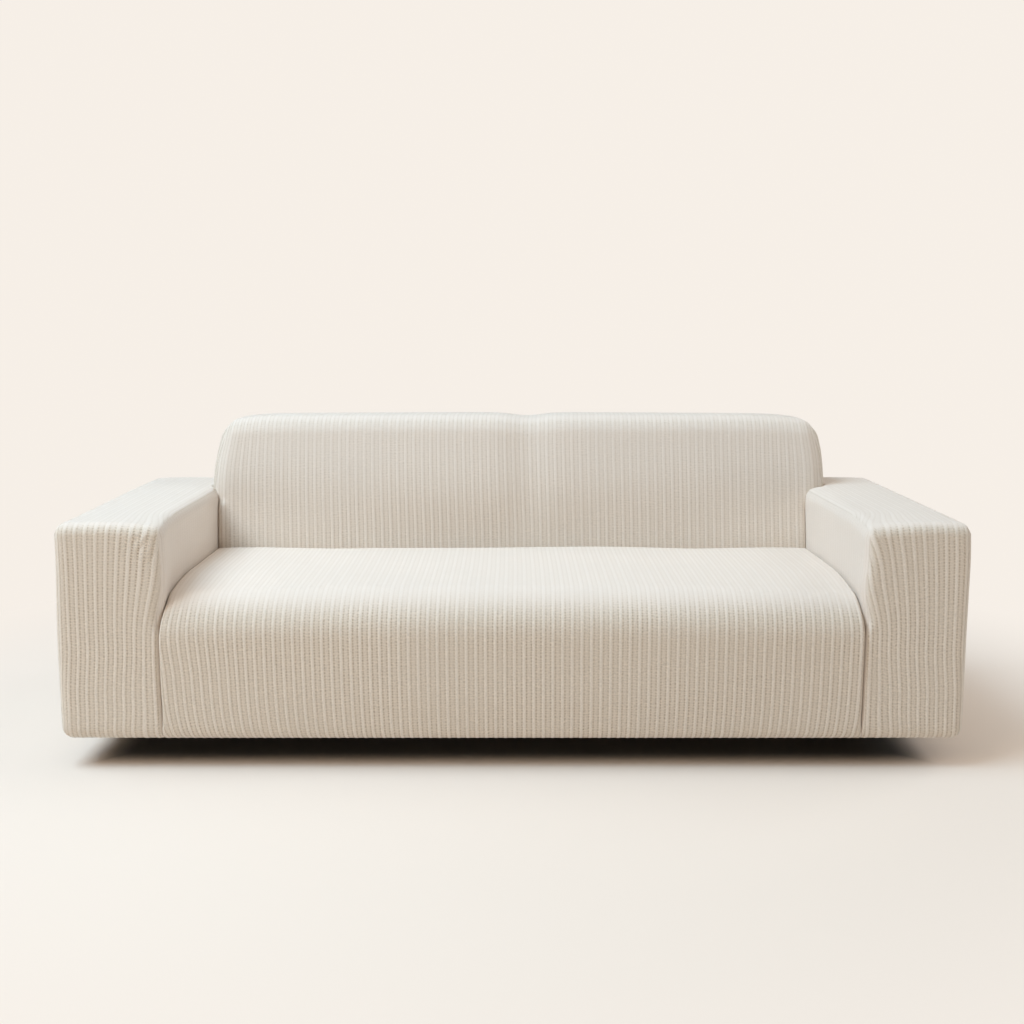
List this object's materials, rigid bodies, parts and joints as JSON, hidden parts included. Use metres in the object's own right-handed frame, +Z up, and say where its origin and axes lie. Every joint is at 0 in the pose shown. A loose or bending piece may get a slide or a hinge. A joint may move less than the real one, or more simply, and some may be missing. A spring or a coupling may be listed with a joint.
{
  "type": "sofa slipcover",
  "caption": "Fitted stretch-knit slipcover in ribbed ivory cloth for a long square-armed sofa: hollow, open below, with its hem turned under.",
  "frame": {"origin": "on the hem plane, under the middle of the cover's length and depth", "axes": "+X along the sofa to the right as seen from the front, -Y to the front, +Z up"},
  "size_m": [2.204, 0.9075, 0.7418],
  "materials": {
    "ribbed_knit": "matt ribbed stretch knit"
  },
  "bodies": {
    "root": {"seat_panel": "ribbed_knit", "back_panel": "ribbed_knit", "arm_strip_right": "ribbed_knit", "arm_strip_left": "ribbed_knit", "arm_inner_right": "ribbed_knit", "arm_inner_left": "ribbed_knit", "arm_outer_right": "ribbed_knit", "arm_outer_left": "ribbed_knit", "back_end_right": "ribbed_knit", "back_end_left": "ribbed_knit"}
  },
  "joints": []
}
